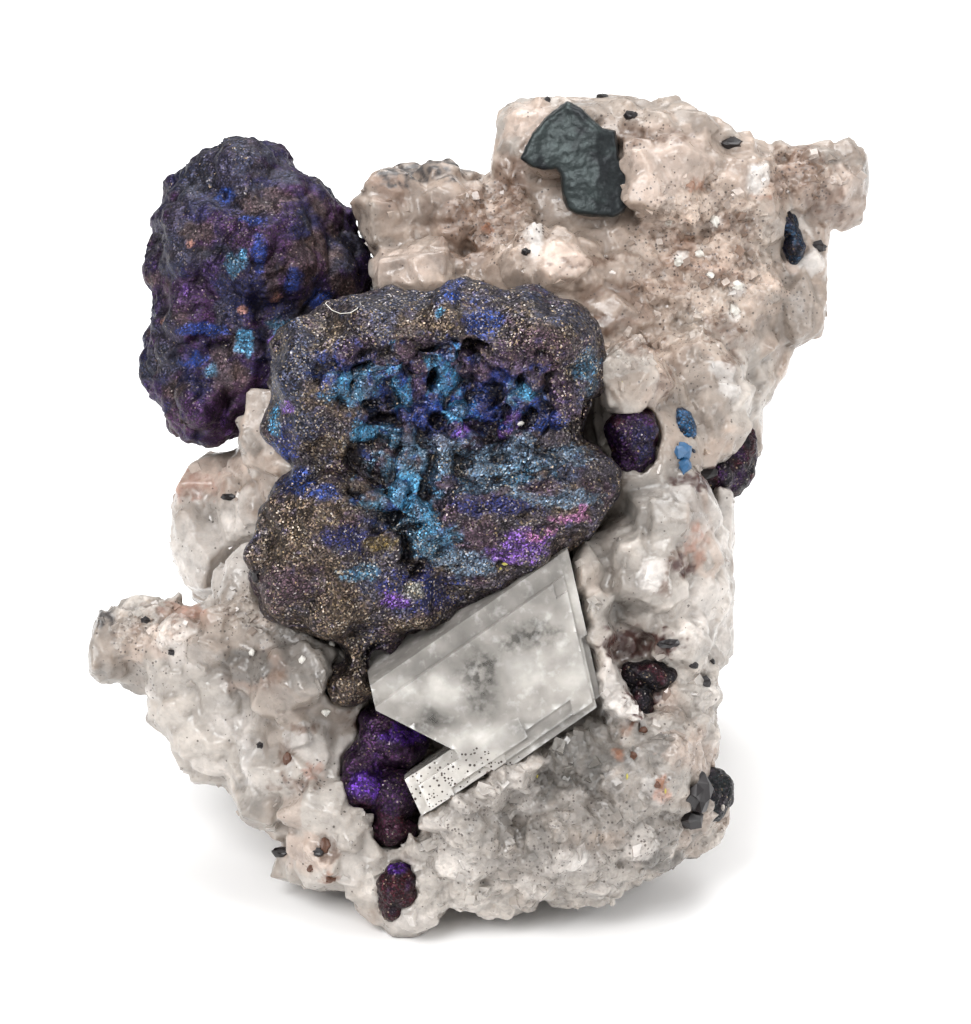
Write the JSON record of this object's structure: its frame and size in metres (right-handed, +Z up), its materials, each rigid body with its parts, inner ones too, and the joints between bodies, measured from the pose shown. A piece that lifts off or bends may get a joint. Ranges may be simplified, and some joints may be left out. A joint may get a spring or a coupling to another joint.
{
  "type": "bornite specimen",
  "caption": "Mineral specimen: rounded masses of blue and purple tarnished bornite on a pale druse of calcite and quartz, with a clear calcite block and a flat cut foot.",
  "frame": {"origin": "on the cut foot's plane, under the middle of the specimen's bounding box", "axes": "+Z up from the flat foot, the display side faces -Y, +X to the right as seen from there"},
  "size_m": [0.0496, 0.0394, 0.0416],
  "materials": {
    "druse": "sparkling, rough",
    "clear_calcite": "cloudy, see-through",
    "tarnished_bornite": "metallic, grainy, blue and teal tarnish",
    "purple_bornite": "metallic, purple tarnish",
    "chalcocite": "dull metallic grey"
  },
  "bodies": {
    "root": {"calcite_quartz_matrix": "druse", "bornite_mass_front": "tarnished_bornite", "bornite_mass_rear": "purple_bornite", "chalcocite_patch": "chalcocite", "calcite_crystal": "clear_calcite", "bornite_cluster_lower": "purple_bornite", "bornite_grain_oval": "purple_bornite", "bornite_grain_pair": "purple_bornite", "bornite_grain_flank": "purple_bornite", "bornite_grain_foot": "purple_bornite", "bornite_grain_corner": "purple_bornite", "bornite_grain_vein": "purple_bornite", "bornite_grain_crest": "purple_bornite"}
  },
  "joints": []
}
